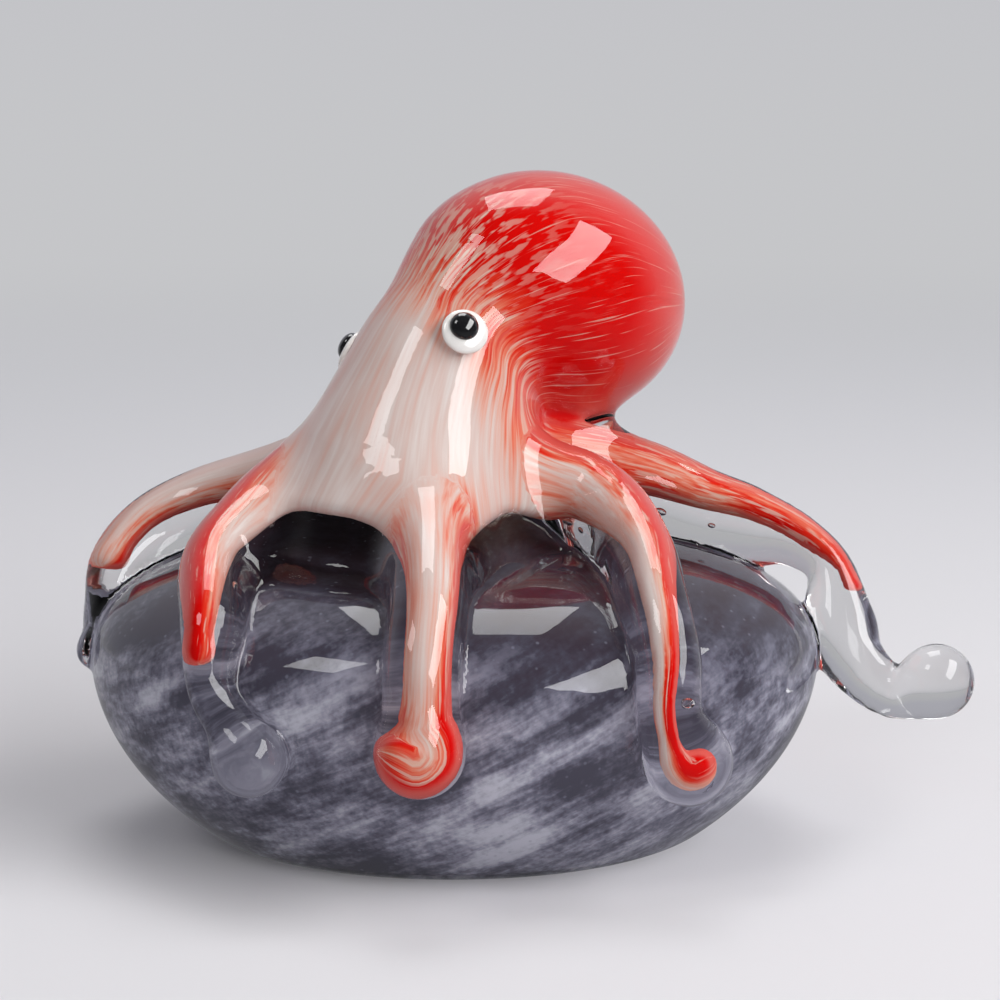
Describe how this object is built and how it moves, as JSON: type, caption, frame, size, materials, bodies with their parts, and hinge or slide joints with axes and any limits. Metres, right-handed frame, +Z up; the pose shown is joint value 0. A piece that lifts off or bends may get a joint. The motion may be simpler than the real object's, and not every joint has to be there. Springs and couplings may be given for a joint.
{
  "type": "octopus paperweight figurine",
  "caption": "Hot-worked glass octopus clinging to a rounded boulder with a flat ground base; cased arms drape over the stone. Free-standing ornament or paperweight.",
  "frame": {"origin": "middle of the flat ground base of the boulder", "axes": "+Z up, -Z out of the base; +X to the right of the pictured front, along the longest extent; +Y to the back"},
  "size_m": [0.1529, 0.1235, 0.1124],
  "materials": {
    "slate_glass": "mottled opaque glass, polished",
    "clear_glass": "fire-polished clear glass",
    "red_glass": "streaked opaque glass, fire-polished",
    "red_white_cane": "streaked opaque glass, fire-polished",
    "white_glass": "opaque glass, fire-polished",
    "black_glass": "opaque glass, fire-polished"
  },
  "bodies": {
    "root": {"stone_core": "slate_glass", "stone_casing": "clear_glass", "body_core": "red_glass", "body_casing": "clear_glass", "front_arm_core": "red_white_cane", "front_arm_casing": "clear_glass", "front_right_arm_core": "red_white_cane", "front_right_arm_casing": "clear_glass", "right_arm_core": "red_white_cane", "right_arm_casing": "clear_glass", "back_right_arm_core": "red_white_cane", "back_right_arm_casing": "clear_glass", "back_arm_core": "red_white_cane", "back_arm_casing": "clear_glass", "back_left_arm_core": "red_white_cane", "back_left_arm_casing": "clear_glass", "left_arm_core": "red_white_cane", "left_arm_casing": "clear_glass", "front_left_arm_core": "red_white_cane", "front_left_arm_casing": "clear_glass", "left_eye_white": "white_glass", "left_eye_pupil": "black_glass", "right_eye_white": "white_glass", "right_eye_pupil": "black_glass"}
  },
  "joints": []
}
